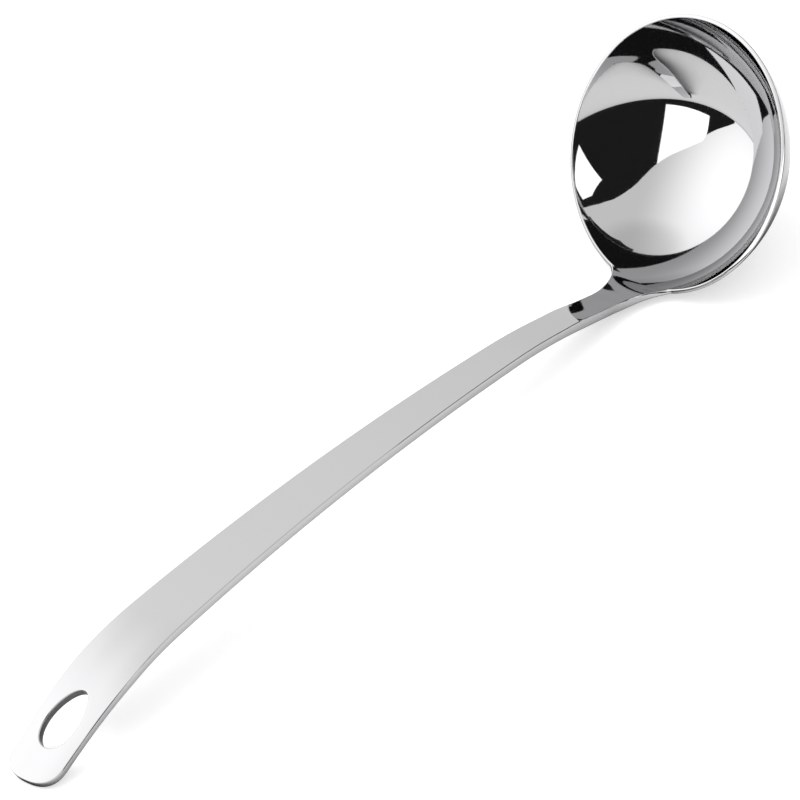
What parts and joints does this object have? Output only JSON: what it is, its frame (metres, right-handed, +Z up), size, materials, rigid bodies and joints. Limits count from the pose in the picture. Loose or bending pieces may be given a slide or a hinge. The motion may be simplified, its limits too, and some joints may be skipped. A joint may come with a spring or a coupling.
{
  "type": "soup ladle",
  "caption": "Soup ladle in mirror-polished steel: a round bowl and a long curved flat handle with an egg-shaped hanging hole near its bent end.",
  "frame": {"origin": "on the table, below the middle of the ladle's length", "axes": "+X from the bowl to the handle's end, +Y across the handle, +Z up from the table that the ladle lies on"},
  "size_m": [0.3518, 0.0904, 0.0724],
  "materials": {
    "bowl_steel": "mirror polished sheet",
    "handle_steel": "mirror polished bar"
  },
  "bodies": {
    "root": {"bowl": "bowl_steel", "handle": "handle_steel"}
  },
  "joints": []
}
